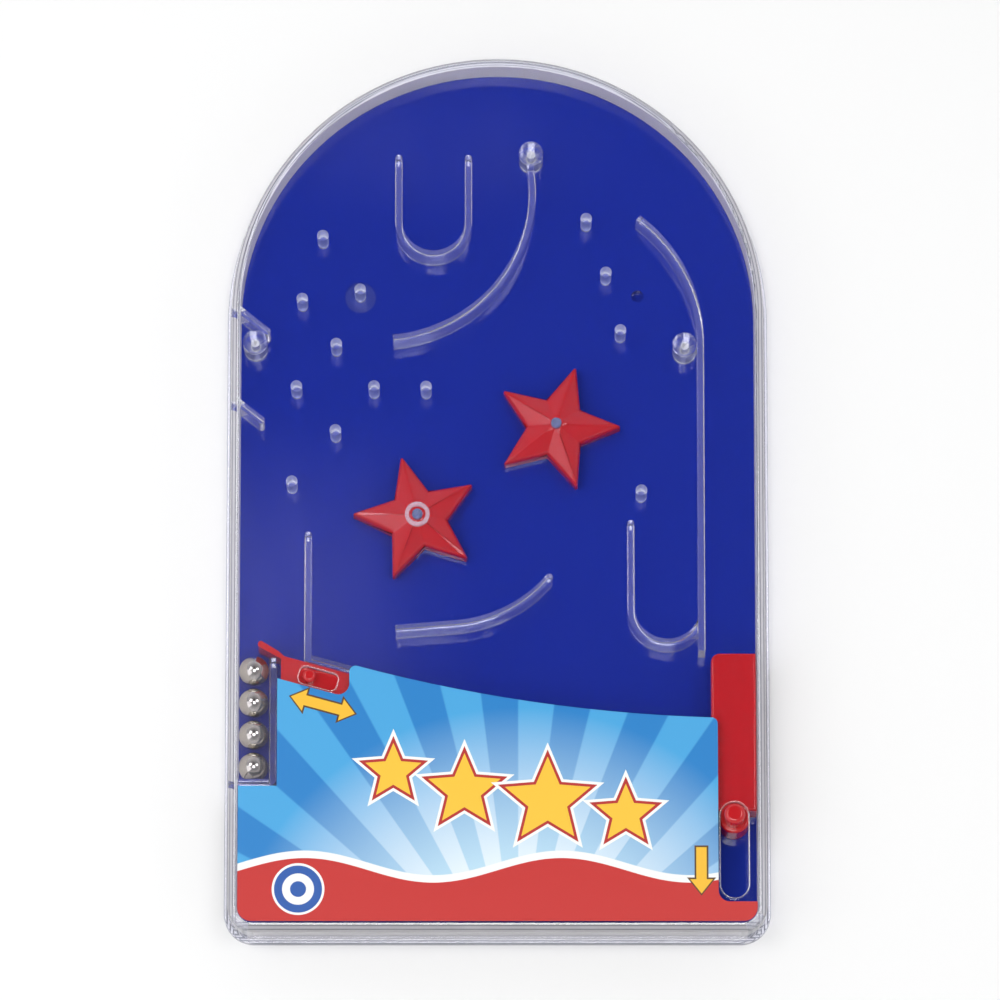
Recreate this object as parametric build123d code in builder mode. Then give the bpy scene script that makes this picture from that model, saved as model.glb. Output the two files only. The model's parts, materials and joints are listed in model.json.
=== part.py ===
"""Handheld tabletop pinball game: a blue base plate under an arch-topped clear cover whose
moulded pins, rails and bosses make the playfield, with two star spinners, four steel balls
in a storage lane, a ball lock and a sprung shooter.

Millimetres. +X is the player's right, +Y points up the playfield, +Z up. The origin is the
middle of the case, on the surface that it lies on.
"""
import os
from math import cos, pi, radians, sin, sqrt

from build123d import *

os.makedirs("parts", exist_ok=True)

# Case
case_width = 158.0
case_length = 264.0
corner_radius = 8.8
lip_width = 1.3
lip_height = 2.2
lip_rounding = 0.5
wall = 2.6
edge_rounding = 2.4
slot_rounding = 0.4
base_thickness = 3.0
base_fit = 0.15
play_height = 10.0
cover_thickness = 2.0
dimple_diameter = 3.6
dimple_depth = 2.2
gate_diameter = 9.4
gate_depth = 0.4
overrun = 1.0

# Clearances
floor_gap = 0.1
slide_gap = 0.3
seam = 0.05

# Pins, bosses and screws
pin_diameter = 3.3
pin_draft = 0.7
pin_rounding = 0.5
boss_diameter = 7.0
screw_diameter = 2.4
screw_fit = 0.03
screw_clearance = 0.3
screw_depth = 6.0
screw_head_diameter = 5.2
screw_head_height = 1.5
screw_recess_depth = 1.8
left_boss_setback = 3.4
left_boss_drop = 3.2

# Rails
rail_thickness = 2.0
rail_rounding = 0.4
pocket_radius = 10.2
sweep_radius = 45.0
sweep_start_angle = -84.5
sweep_angle = 94.5
lane_arch_radius = 47.0
lane_arch_angle = 52.0
side_pocket_radius = 10.6
side_pocket_reach = 8.9
drain_reach = 11.6
drain_setback = 0.5
deflector_lengths = [11.7, 9.6]
deflector_angle = -41.0

# Star spinners
star_names = ["star_left", "star_right"]
star_angles = [104.3, 0.5]
star_points_count = 5
star_radius = 18.6
star_waist = 8.75
star_tip_flat = 0.7
star_side_height = 4.8
star_height = 8.0
star_crown_radius = 3.2
star_wall = 1.5
star_hub_diameter = 6.0
pivot_diameter = 3.0
pivot_fit = 0.05
collar_diameter = 7.1
collar_bore = 5.0

# Balls and their storage lane
ball_diameter = 8.7
ball_count = 4
ball_side_gap = 0.25
ball_spacing = 0.8
divider_drop = 1.8

# Ball lock
lock_angle = -15.5
lock_setback = 9.5
lock_drop = 2.9
lock_body_width = 8.0
lock_body_length = 20.6
lock_wall = 1.6
lock_travel = 5.8
lock_knob_diameter = 3.8
lock_knob_proud = 1.0
lock_slot_width = 5.0
lock_slot_rounding = 1.7
lock_slot_end_gap = 1.0
lock_slot_far_gap = 0.6
lock_arm_reach = 8.4
lock_arm_width = 1.9
lock_arm_root = 8.6
lock_tip_rounding = 0.8
lock_heel = 7.4
lock_knob_rounding = 0.9

# Shooter
bar_width = 13.0
bar_wall = 1.6
bar_nose_rounding = 2.5
bar_edge_rounding = 0.7
bar_tongue_radius = 4.4
bar_tongue_reach = 2.0
shooter_travel = 20.0
shooter_knob_diameter = 6.0
shooter_knob_proud = 4.4
shooter_knob_rounding = 1.2
shooter_slot_width = 8.0
shooter_slot_top_gap = 1.2
shooter_slot_end_gap = 0.8
shooter_slot_foot = 7.2
lane_step = 1.6
spring_wire = 0.8
spring_mean_radius = 2.9
spring_turns = 12
wire_samples = 288
spring_back_gap = 4.9
spring_seat = 0.1
spigot_diameter = 4.2
spigot_length = 4.0
post_width = 6.4
post_thickness = 3.2

# Printed label
label_thickness = 0.2
label_margin = 0.3
label_rounding = 1.8
label_cut_rounding = 3.2
label_rim = 1.2
label_corner_rounding = 4.0

# Places on the playfield, as shares of its half width and half length
pin_shares = [
    (-0.680, 0.599), (-0.759, 0.450), (-0.626, 0.344), (-0.780, 0.244), (-0.479, 0.244),
    (-0.277, 0.243), (-0.628, 0.141), (-0.796, 0.021), (0.346, 0.639), (0.422, 0.512),
    (0.478, 0.376), (0.557, 0.000), (-0.534, 0.472),
]
gate_share = (-0.534, 0.472)
dimple_share = (0.546, 0.476)
top_boss_share = (0.131, 0.794)
right_boss_height_share = 0.342
low_boss_shares = [(-0.620, -0.800), (0.040, -0.700), (0.640, -0.800)]
left_star_share = (-0.310, -0.055)
right_star_share = (0.228, 0.158)
pocket_share = (-0.249, 0.635)
pocket_top_height_share = 0.782
sweep_centre_share = (-0.463, 0.706)
lane_foot_height_share = -0.373
lane_arch_height_share = 0.351
side_pocket_height_share = -0.271
side_pocket_top_height_share = -0.078
low_rail_shares = [(-0.393, -0.322), (-0.160, -0.311), (0.200, -0.203)]
drain_top_height_share = -0.105
drain_end_height_share = -0.539
deflector_height_shares = [0.433, 0.214]
lane_floor_height_share = -0.670
shooter_nose_height_share = -0.379
label_right_height_share = -0.531

# Sizes that follow from these
half_width = case_width / 2 - lip_width - wall
half_length = case_length / 2 - lip_width - wall
arch_centre_y = case_length / 2 - case_width / 2
floor_z = base_thickness
ceiling_z = floor_z + play_height
top_z = ceiling_z + cover_thickness
rail_plane = Plane.XY.offset(floor_z + floor_gap)
rail_height = play_height - floor_gap


def place(shares):
    """Point of the playfield from its shares of the half width and half length."""
    return Vector(shares[0] * half_width, shares[1] * half_length)


def case_outline(inset):
    """Arch-topped outline of the case, drawn inset from its outer edge."""
    side = case_width / 2 - inset
    low = inset - case_length / 2
    with BuildSketch() as outline:
        with BuildLine():
            Polyline((-side, arch_centre_y), (-side, low), (side, low), (side, arch_centre_y))
            ThreePointArc((side, arch_centre_y), (0, arch_centre_y + side), (-side, arch_centre_y))
        make_face()
        fillet(outline.vertices().group_by(Axis.Y)[0], corner_radius - inset)
    return outline.sketch


inner_outline = case_outline(lip_width + wall)

# The shooter bar runs between the right wall and a guide, and sets the lane's width
bar_x = half_width - slide_gap - bar_width / 2
bar_top_y = shooter_nose_height_share * half_length
shooter_slot_low = shooter_slot_foot - half_length
shooter_knob_y = shooter_slot_low + shooter_slot_end_gap + shooter_knob_diameter / 2 + shooter_travel
bar_low_y = shooter_knob_y + bar_tongue_reach
bar_length = bar_top_y - bar_low_y
bar_floor_z = floor_z + slide_gap
bar_roof_z = ceiling_z - slide_gap
guide_x = bar_x - bar_width / 2 - slide_gap - rail_thickness / 2
lane_rail_x = bar_x - bar_width / 2 - lane_step - rail_thickness / 2
lane_rail_face_x = lane_rail_x - rail_thickness / 2

# The spring lies on the bar's axis, between its end wall and a post
spring_z = (bar_floor_z + bar_roof_z - bar_wall) / 2
spring_length = bar_length - 2 * bar_wall - 2 * spring_seat - post_thickness - spring_back_gap
coil_top_y = bar_top_y - bar_wall - spring_seat - spring_wire / 2
coil_rise = (spring_length - spring_wire) / spring_turns
post_face_y = bar_top_y - bar_wall - spring_length - 2 * spring_seat

# The ball lane runs down the left wall
ball_lane_width = ball_diameter + 2 * ball_side_gap
ball_x = ball_lane_width / 2 - half_width
lane_floor_y = lane_floor_height_share * half_length
ball_pitch = ball_diameter + ball_spacing
ball_rest_z = floor_z + seam + ball_diameter / 2
low_ball_y = lane_floor_y + ball_side_gap + ball_diameter / 2
top_ball_y = low_ball_y + (ball_count - 1) * ball_pitch
divider_x = ball_lane_width - half_width + rail_thickness / 2

# The lock slides down a slope: its own frame starts at its knob, with X down the slope
lock_knob = Vector(divider_x + rail_thickness / 2 + lock_setback, top_ball_y - lock_drop)
lock_frame = Plane(origin=lock_knob, x_dir=(cos(radians(lock_angle)), sin(radians(lock_angle)), 0))
drain_offset = lock_body_width / 2 + slide_gap + rail_thickness / 2


def slope_point(x, offset):
    """Point at x on the line that runs beside the lock's axis at this offset."""
    run = (x - lock_knob.X - offset * lock_frame.y_dir.X) / lock_frame.x_dir.X
    return lock_knob + lock_frame.x_dir * run + lock_frame.y_dir * offset


# Deflectors slope down from the left wall, and a boss stands under the upper one
deflectors = []
for height_share, length in zip(deflector_height_shares, deflector_lengths):
    wall_end = Vector(-half_width - overrun, height_share * half_length)
    slope = Vector(cos(radians(deflector_angle)), sin(radians(deflector_angle)))
    deflectors.append((wall_end, wall_end + slope * length))
left_boss = deflectors[0][1] - Vector(left_boss_setback, left_boss_drop)

# Bosses and screws stand on common axes
right_boss = Vector(lane_rail_face_x - boss_diameter / 2 - seam, right_boss_height_share * half_length)
boss_points = [place(top_boss_share), left_boss, right_boss]
boss_points += [place(shares) for shares in low_boss_shares]
pin_points = [place(shares) for shares in pin_shares]
star_points = [place(left_star_share), place(right_star_share)]

with BuildPart() as base_plate:
    with BuildSketch():
        add(case_outline(lip_width + wall + base_fit))
        with Locations(boss_points):
            Circle(screw_diameter / 2 + screw_clearance, mode=Mode.SUBTRACT)
    extrude(amount=base_thickness)
    with BuildSketch():
        with Locations(boss_points):
            Circle(screw_head_diameter / 2 + screw_clearance)
    extrude(amount=screw_recess_depth, mode=Mode.SUBTRACT)
    with BuildSketch(Plane.XY.offset(floor_z)):
        with Locations(place(gate_share)):
            Circle(gate_diameter / 2)
    extrude(amount=-gate_depth, mode=Mode.SUBTRACT)
    with BuildSketch(Plane.XY.offset(floor_z)):
        with Locations(place(dimple_share)):
            Circle(dimple_diameter / 2)
    extrude(amount=-dimple_depth, mode=Mode.SUBTRACT)
base_plate.part.label = "base_plate"
export_step(base_plate.part, "parts/base_plate.step")

# Slots of the cover, drawn where the two knobs travel
lock_slot_length = lock_travel + lock_knob_diameter + lock_slot_end_gap + lock_slot_far_gap
lock_slot_start = -lock_knob_diameter / 2 - lock_slot_end_gap
shooter_slot_top = shooter_knob_y + shooter_knob_diameter / 2 + shooter_slot_top_gap

with BuildPart() as clear_cover:
    with BuildSketch():
        add(case_outline(0))
    extrude(amount=lip_height)
    fillet(clear_cover.faces().sort_by(Axis.Z)[-1].edges(), lip_rounding)
    with BuildSketch():
        add(case_outline(lip_width))
    extrude(amount=top_z)
    fillet(clear_cover.faces().sort_by(Axis.Z)[-1].edges(), edge_rounding)
    with BuildSketch():
        add(inner_outline)
    extrude(amount=ceiling_z, mode=Mode.SUBTRACT)
    with BuildSketch(lock_frame.offset(ceiling_z - overrun)):
        with Locations((lock_slot_start + lock_slot_length / 2, 0)):
            RectangleRounded(lock_slot_length, lock_slot_width, lock_slot_rounding)
    extrude(amount=cover_thickness + 2 * overrun, mode=Mode.SUBTRACT)
    with BuildSketch(Plane.XY.offset(ceiling_z - overrun)):
        with Locations((bar_x, (shooter_slot_top + shooter_slot_low) / 2)):
            SlotOverall(shooter_slot_top - shooter_slot_low, shooter_slot_width, rotation=90)
    extrude(amount=cover_thickness + 2 * overrun, mode=Mode.SUBTRACT)
    slot_rims = clear_cover.faces().sort_by(Axis.Z)[-1].inner_wires()
    fillet([edge for rim in slot_rims for edge in rim.edges()], slot_rounding)
clear_cover.part.label = "clear_cover"
export_step(clear_cover.part, "parts/clear_cover.step")

with BuildPart() as cover_pins:
    with BuildSketch(Plane.XY.offset(ceiling_z)):
        with Locations(pin_points):
            Circle(pin_diameter / 2)
    extrude(amount=-rail_height, taper=pin_draft)
    fillet(cover_pins.edges().group_by(Axis.Z)[0], pin_rounding)
cover_pins.part.label = "cover_pins"
export_step(cover_pins.part, "parts/cover_pins.step")

with BuildPart() as screw_bosses:
    with BuildSketch(Plane.XY.offset(floor_z)):
        with Locations(boss_points):
            Circle(boss_diameter / 2)
    extrude(amount=play_height)
    with BuildSketch(Plane.XY.offset(floor_z)):
        with Locations(boss_points):
            Circle(screw_diameter / 2 + screw_fit)
    extrude(amount=screw_depth + overrun, mode=Mode.SUBTRACT)
screw_bosses.part.label = "screw_bosses"
export_step(screw_bosses.part, "parts/screw_bosses.step")

screw_head_z = screw_recess_depth - screw_head_height
with BuildPart() as cover_screws:
    with BuildSketch(Plane.XY.offset(screw_head_z)):
        with Locations(boss_points):
            Circle(screw_head_diameter / 2)
    extrude(amount=screw_head_height)
    with BuildSketch(Plane.XY.offset(screw_head_z)):
        with Locations(boss_points):
            Circle(screw_diameter / 2)
    extrude(amount=floor_z + screw_depth - screw_head_z)
    fillet(cover_screws.edges().group_by(Axis.Z)[0], screw_head_height / 3)
cover_screws.part.label = "cover_screws"
export_step(cover_screws.part, "parts/cover_screws.step")

star_base_z = floor_z + slide_gap
star_top_z = star_base_z + star_height
with BuildPart() as star_pivots:
    with BuildSketch(rail_plane):
        with Locations(star_points):
            Circle(pivot_diameter / 2)
    extrude(amount=rail_height)
    with BuildSketch(Plane.XY.offset(ceiling_z)):
        with Locations(star_points[0]):
            Circle(collar_diameter / 2)
            Circle(collar_bore / 2, mode=Mode.SUBTRACT)
    extrude(amount=star_top_z + slide_gap - ceiling_z)
star_pivots.part.label = "star_pivots"
export_step(star_pivots.part, "parts/star_pivots.step")

pocket_centre = place(pocket_share)
pocket_top_y = pocket_top_height_share * half_length
pocket_left_x = pocket_centre.X - pocket_radius
pocket_right_x = pocket_centre.X + pocket_radius
with BuildPart() as u_pocket_rail:
    with BuildSketch(rail_plane):
        with BuildLine():
            Line((pocket_left_x, pocket_top_y), (pocket_left_x, pocket_centre.Y))
            CenterArc(pocket_centre, pocket_radius, 180, 180)
            Line((pocket_right_x, pocket_centre.Y), (pocket_right_x, pocket_top_y))
        trace(line_width=rail_thickness)
        with Locations((pocket_left_x, pocket_top_y), (pocket_right_x, pocket_top_y)):
            Circle(rail_thickness / 2)
    extrude(amount=rail_height)
    fillet(u_pocket_rail.edges().group_by(Axis.Z)[0], rail_rounding)
u_pocket_rail.part.label = "u_pocket_rail"
export_step(u_pocket_rail.part, "parts/u_pocket_rail.step")

with BuildPart() as sweep_rail:
    with BuildSketch(rail_plane):
        with BuildLine():
            CenterArc(place(sweep_centre_share), sweep_radius, sweep_start_angle, sweep_angle)
        trace(line_width=rail_thickness)
        with Locations(place(top_boss_share)):
            Circle(boss_diameter / 2 + seam, mode=Mode.SUBTRACT)
    extrude(amount=rail_height)
    fillet(sweep_rail.edges().group_by(Axis.Z)[0], rail_rounding)
sweep_rail.part.label = "sweep_rail"
export_step(sweep_rail.part, "parts/sweep_rail.step")

lane_foot_y = lane_foot_height_share * half_length
lane_arch_y = lane_arch_height_share * half_length
with BuildPart() as lane_rail:
    with BuildSketch(rail_plane):
        with BuildLine():
            Line((lane_rail_x, lane_foot_y), (lane_rail_x, lane_arch_y))
            CenterArc((lane_rail_x - lane_arch_radius, lane_arch_y), lane_arch_radius, 0, lane_arch_angle)
        trace(line_width=rail_thickness)
    extrude(amount=rail_height)
    fillet(lane_rail.edges().group_by(Axis.Z)[0], rail_rounding)
lane_rail.part.label = "lane_rail"
export_step(lane_rail.part, "parts/lane_rail.step")

side_pocket_x = lane_rail_face_x - side_pocket_reach
side_pocket_y = side_pocket_height_share * half_length
side_pocket_left_x = side_pocket_x - side_pocket_radius
side_pocket_top = Vector(side_pocket_left_x, side_pocket_top_height_share * half_length)
with BuildPart() as side_pocket_rail:
    with BuildSketch(rail_plane):
        with BuildLine():
            Line(side_pocket_top, (side_pocket_left_x, side_pocket_y))
            CenterArc((side_pocket_x, side_pocket_y), side_pocket_radius, 180, 180)
        trace(line_width=rail_thickness)
        with Locations(side_pocket_top):
            Circle(rail_thickness / 2)
        with Locations((lane_rail_face_x - seam, side_pocket_y)):
            Rectangle(case_width, 2 * case_length, align=(Align.MIN, Align.CENTER), mode=Mode.SUBTRACT)
    extrude(amount=rail_height)
    fillet(side_pocket_rail.edges().group_by(Axis.Z)[0], rail_rounding)
side_pocket_rail.part.label = "side_pocket_rail"
export_step(side_pocket_rail.part, "parts/side_pocket_rail.step")

low_rail_points = [place(shares) for shares in low_rail_shares]
with BuildPart() as low_rail:
    with BuildSketch(rail_plane):
        with BuildLine():
            run = Line(low_rail_points[0], low_rail_points[1])
            TangentArc(low_rail_points[1], low_rail_points[2], tangent=run % 1)
        trace(line_width=rail_thickness)
        with Locations(low_rail_points[2]):
            Circle(rail_thickness / 2)
    extrude(amount=rail_height)
    fillet(low_rail.edges().group_by(Axis.Z)[0], rail_rounding)
low_rail.part.label = "low_rail"
export_step(low_rail.part, "parts/low_rail.step")

# The drain rail drops beside the lock, follows its slope and levels out towards the shooter
drain_top = Vector(lock_knob.X - drain_setback, drain_top_height_share * half_length)
drain_bend = slope_point(drain_top.X, drain_offset)
drain_level = slope_point(lock_knob.X + drain_reach, drain_offset)
drain_end = Vector(guide_x - rail_thickness / 2 - seam, drain_end_height_share * half_length)
with BuildPart() as drain_rail:
    with BuildSketch(rail_plane):
        with BuildLine():
            Polyline(drain_top, drain_bend, drain_level)
            TangentArc(drain_level, drain_end, tangent=lock_frame.x_dir)
        trace(line_width=rail_thickness)
        with Locations(drain_top):
            Circle(rail_thickness / 2)
        with Locations((guide_x - rail_thickness / 2 - seam, drain_end.Y)):
            Rectangle(case_width, 2 * case_length, align=(Align.MIN, Align.CENTER), mode=Mode.SUBTRACT)
    extrude(amount=rail_height)
    fillet(drain_rail.edges().group_by(Axis.Z)[0], rail_rounding)
drain_rail.part.label = "drain_rail"
export_step(drain_rail.part, "parts/drain_rail.step")

with BuildPart() as wall_deflectors:
    with BuildSketch(rail_plane):
        for wall_end, free_end in deflectors:
            with BuildLine(mode=Mode.PRIVATE) as deflector:
                Line(wall_end, free_end)
            trace(deflector.line, line_width=rail_thickness)
            with Locations(free_end):
                Circle(rail_thickness / 2)
        add(inner_outline, mode=Mode.INTERSECT)
    extrude(amount=rail_height)
    fillet(wall_deflectors.edges().group_by(Axis.Z)[0], rail_rounding)
wall_deflectors.part.label = "wall_deflectors"
export_step(wall_deflectors.part, "parts/wall_deflectors.step")

divider_top_y = top_ball_y + ball_diameter / 2 - divider_drop
divider_foot_y = lane_floor_y - rail_thickness / 2
with BuildPart() as ball_lane_divider:
    with BuildSketch(rail_plane):
        with BuildLine():
            Polyline((divider_x, divider_top_y), (divider_x, divider_foot_y), (-half_width, divider_foot_y))
        trace(line_width=rail_thickness)
    extrude(amount=rail_height)
    outer_corner = ball_lane_divider.edges().filter_by(Axis.Z).group_by(Axis.Y)[0].sort_by(Axis.X)[-1]
    fillet(outer_corner, rail_thickness)
    fillet(ball_lane_divider.edges().group_by(Axis.Z)[0], rail_rounding)
ball_lane_divider.part.label = "ball_lane_divider"
export_step(ball_lane_divider.part, "parts/ball_lane_divider.step")

# A rib below the lock and one beside the shooter keep the two sliders on their lines
with BuildPart() as slide_guides:
    with BuildSketch(lock_frame.offset(floor_z)):
        with Locations((lock_body_length / 4, -drain_offset)):
            Rectangle(lock_body_length, rail_thickness)
    extrude(amount=rail_height)
    with BuildSketch(Plane.XY.offset(floor_z)):
        with Locations((guide_x, drain_end.Y - rail_thickness)):
            Rectangle(rail_thickness, bar_length, align=(Align.CENTER, Align.MAX))
    extrude(amount=rail_height)
slide_guides.part.label = "slide_guides"
export_step(slide_guides.part, "parts/slide_guides.step")

# The lock is a hollow moulding, open below, with a gate arm and a thumb knob
lock_floor_z = floor_z + slide_gap
lock_roof_z = ceiling_z - slide_gap
lock_half = lock_body_width / 2
lock_tip = Vector(-lock_arm_root - lock_arm_reach, lock_half + lock_arm_width)
lock_outline = [
    (lock_body_length - lock_heel, lock_half),
    (-lock_arm_root, lock_half),
    (-lock_arm_root - lock_arm_width, lock_half + lock_arm_width / 2),
    (lock_tip.X, lock_tip.Y + lock_arm_width / 2),
    (lock_tip.X, lock_tip.Y - lock_arm_width / 2),
    (-lock_heel - lock_arm_width, lock_half - lock_arm_width / 2),
    (-lock_heel, -lock_half),
    (lock_body_length - lock_heel, -lock_half),
]
with BuildPart() as lock_slider:
    with BuildSketch(lock_frame.offset(lock_floor_z)) as lock_plan:
        with BuildLine():
            Polyline(lock_outline, close=True)
        make_face()
        fillet(lock_plan.vertices().sort_by(Axis.X)[:2], lock_tip_rounding)
    extrude(amount=lock_roof_z - lock_floor_z)
    with BuildSketch(lock_frame.offset(lock_floor_z)):
        with Locations((lock_body_length / 2 - lock_heel, 0)):
            Rectangle(lock_body_length - 2 * lock_wall - lock_arm_width, lock_body_width - 2 * lock_wall)
    extrude(amount=lock_roof_z - lock_floor_z - lock_wall, mode=Mode.SUBTRACT)
    with BuildSketch(lock_frame.offset(lock_roof_z)):
        Circle(lock_knob_diameter / 2)
    extrude(amount=top_z + lock_knob_proud - lock_roof_z)
    fillet(lock_slider.edges().group_by(Axis.Z)[-1], lock_knob_rounding)
lock_slider.part.label = "lock_slider"
export_step(lock_slider.part, "parts/lock_slider.step")

# The shooter bar is a hollow moulding over its spring, with a tongue and a thumb knob
with BuildPart() as shooter_slide:
    with BuildSketch(Plane.XY.offset(bar_floor_z)) as bar_plan:
        with Locations((bar_x, bar_top_y)):
            Rectangle(bar_width, bar_length, align=(Align.CENTER, Align.MAX))
        fillet(bar_plan.vertices().group_by(Axis.Y)[-1].sort_by(Axis.X)[0], bar_nose_rounding)
        with Locations((bar_x, shooter_knob_y)):
            Circle(bar_tongue_radius)
            Rectangle(2 * bar_tongue_radius, bar_tongue_reach + overrun, align=(Align.CENTER, Align.MIN))
    extrude(amount=bar_roof_z - bar_floor_z)
    fillet(shooter_slide.faces().sort_by(Axis.Z)[-1].edges(), bar_edge_rounding)
    with BuildSketch(Plane.XY.offset(bar_floor_z)):
        with Locations((bar_x, bar_top_y - bar_wall)):
            Rectangle(bar_width - 2 * bar_wall, bar_length - 2 * bar_wall, align=(Align.CENTER, Align.MAX))
    extrude(amount=bar_roof_z - bar_floor_z - bar_wall, mode=Mode.SUBTRACT)
    with BuildSketch(Plane.XZ.offset(bar_wall - bar_top_y)):
        with Locations((bar_x, spring_z)):
            Circle(spigot_diameter / 2)
    extrude(amount=spigot_length)
    with BuildSketch(Plane.XY.offset(bar_roof_z)):
        with Locations((bar_x, shooter_knob_y)):
            Circle(shooter_knob_diameter / 2)
    extrude(amount=top_z + shooter_knob_proud - bar_roof_z)
    fillet(shooter_slide.edges().group_by(Axis.Z)[-1], shooter_knob_rounding)
shooter_slide.part.label = "shooter_slide"
export_step(shooter_slide.part, "parts/shooter_slide.step")

# The post stands on the floor inside the bar and holds the spring's lower end
with BuildPart() as spring_post:
    with BuildSketch(Plane.XY.offset(floor_z)):
        with Locations((bar_x, post_face_y)):
            Rectangle(post_width, post_thickness, align=(Align.CENTER, Align.MAX))
    extrude(amount=spring_z + post_width / 2 - floor_z)
    with BuildSketch(Plane.XZ.offset(-post_face_y)):
        with Locations((bar_x, spring_z)):
            Circle(spigot_diameter / 2)
    extrude(amount=-spigot_length)
spring_post.part.label = "spring_post"
export_step(spring_post.part, "parts/spring_post.step")


def coil_point(half_turns):
    """Point and direction of the spring's wire after this many half turns from its upper end."""
    along = coil_rise * half_turns / 2
    side = cos(pi * half_turns)
    point = Vector(bar_x + spring_mean_radius * side, coil_top_y - along, spring_z)
    direction = Vector(0, -coil_rise, 2 * pi * spring_mean_radius * side)
    return point, direction.normalized()


with BuildPart() as shooter_spring:
    with BuildLine() as wire:
        for half_turn in range(2 * spring_turns):
            start, start_way = coil_point(half_turn)
            stop, stop_way = coil_point(half_turn + 1)
            chord = stop - start
            ways = start_way + stop_way
            bend = 2 * (1 - start_way.dot(stop_way))
            lean = chord.dot(ways)
            reach = (sqrt(lean ** 2 + bend * chord.dot(chord)) - lean) / bend
            joint = (start + stop + (start_way - stop_way) * reach) / 2
            joint_way = stop - start - ways * reach
            TangentArc(start, joint, tangent=start_way)
            TangentArc(joint, stop, tangent=joint_way)
    with BuildSketch(Plane(origin=wire.line @ 0, z_dir=wire.line % 0)):
        Circle(spring_wire / 2)
    sweep(path=wire.line)
wire_points = [wire.line @ (step / wire_samples) for step in range(wire_samples + 1)]
wire_gap = min(
    (wire_points[later] - wire_points[earlier]).length
    for earlier in range(wire_samples)
    for later in range(earlier + wire_samples // (2 * spring_turns), wire_samples + 1)
) - spring_wire
print(f"shooter_spring: least gap to itself {wire_gap:.2f} mm")
shooter_spring.part.label = "shooter_spring"
export_step(shooter_spring.part, "parts/shooter_spring.step")


def star_outline(radius, waist, flat):
    """Five-pointed star with blunt tips, one tip along X."""
    corners = []
    for step in range(star_points_count):
        tip_angle = 2 * pi * step / star_points_count
        waist_angle = tip_angle + pi / star_points_count
        for side in (-flat / 2, flat / 2):
            x = radius * cos(tip_angle) - side * sin(tip_angle)
            y = radius * sin(tip_angle) + side * cos(tip_angle)
            corners.append((x, y))
        corners.append((waist * cos(waist_angle), waist * sin(waist_angle)))
    with BuildSketch() as outline:
        with BuildLine():
            Polyline(corners, close=True)
        make_face()
    return outline.sketch


# Each star is faceted above a straight side, hollow below, and turns on a bored hub
crown_share = star_crown_radius / star_radius
for star_name, star_point, star_angle in zip(star_names, star_points, star_angles):
    star_frame = Plane(origin=star_point, x_dir=(cos(radians(star_angle)), sin(radians(star_angle)), 0))
    with BuildPart() as star:
        with BuildSketch(star_frame.offset(star_base_z)):
            add(star_outline(star_radius, star_waist, star_tip_flat))
        extrude(amount=star_side_height)
        with BuildSketch(star_frame.offset(star_base_z + star_side_height)):
            add(star_outline(star_radius, star_waist, star_tip_flat))
        with BuildSketch(star_frame.offset(star_top_z)):
            add(star_outline(star_crown_radius, star_waist * crown_share, star_tip_flat * crown_share))
        loft(ruled=True)
        with BuildSketch(star_frame.offset(star_base_z)):
            add(star_outline(star_radius, star_waist, star_tip_flat))
            offset(amount=-star_wall, kind=Kind.INTERSECTION, mode=Mode.REPLACE)
            Circle(star_hub_diameter / 2, mode=Mode.SUBTRACT)
        extrude(amount=star_side_height - star_wall, mode=Mode.SUBTRACT)
        with BuildSketch(star_frame.offset(star_base_z)):
            Circle(pivot_diameter / 2 + pivot_fit)
        extrude(amount=star_height + overrun, mode=Mode.SUBTRACT)
    star.part.label = star_name
    export_step(star.part, f"parts/{star_name}.step")

for ball_index in range(ball_count):
    with BuildPart() as ball:
        with Locations((ball_x, top_ball_y - ball_index * ball_pitch, ball_rest_z)):
            Sphere(ball_diameter / 2)
    ball.part.label = f"ball_{ball_index + 1}"
    export_step(ball.part, f"parts/ball_{ball_index + 1}.step")

# The label lies on the cover and leaves the playfield, the ball lane and both slots open
label_corner = slope_point(lock_knob.X + drain_reach, drain_offset + label_rim)
label_right_x = bar_x - shooter_slot_width / 2 - slot_rounding - label_margin
label_right = Vector(label_right_x, label_right_height_share * half_length)
label_left_x = divider_x + rail_thickness / 2 + label_margin
label_left_y = lane_floor_y - rail_thickness - label_margin
label_side_x = half_width - label_margin
label_low_y = label_margin - half_length
label_step_y = shooter_slot_low - label_rim
label_slot_offset = -lock_slot_width / 2 - slot_rounding - label_margin
with BuildPart() as printed_label:
    with BuildSketch(Plane.XY.offset(top_z)) as label_plan:
        with BuildLine():
            TangentArc(label_corner, label_right, tangent=lock_frame.x_dir)
            Polyline(
                label_right,
                (label_right_x, label_step_y),
                (label_side_x, label_step_y),
                (label_side_x, label_low_y),
                (-label_side_x, label_low_y),
                (-label_side_x, label_left_y),
                (label_left_x, label_left_y),
                slope_point(label_left_x, label_slot_offset),
                slope_point(label_corner.X, label_slot_offset),
                label_corner,
            )
        make_face()
        fillet(label_plan.vertices().group_by(Axis.Y)[0], label_corner_rounding)
        fillet(label_plan.vertices().sort_by_distance((label_right_x, label_step_y))[0], label_cut_rounding)
        fillet(label_plan.vertices().sort_by_distance(slope_point(label_corner.X, label_slot_offset))[0],
               label_cut_rounding)
        fillet(label_plan.vertices().sort_by_distance(label_right)[0], label_rounding)
        fillet(label_plan.vertices().sort_by_distance(label_corner)[0], label_rounding)
    extrude(amount=label_thickness)
printed_label.part.label = "printed_label"
export_step(printed_label.part, "parts/printed_label.step")
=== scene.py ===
"""Looks of the handheld pinball game: clear moulded cover, blue floor, red stars and sliders,
steel balls and a printed film, lit by a plain soft studio."""

import json

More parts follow.
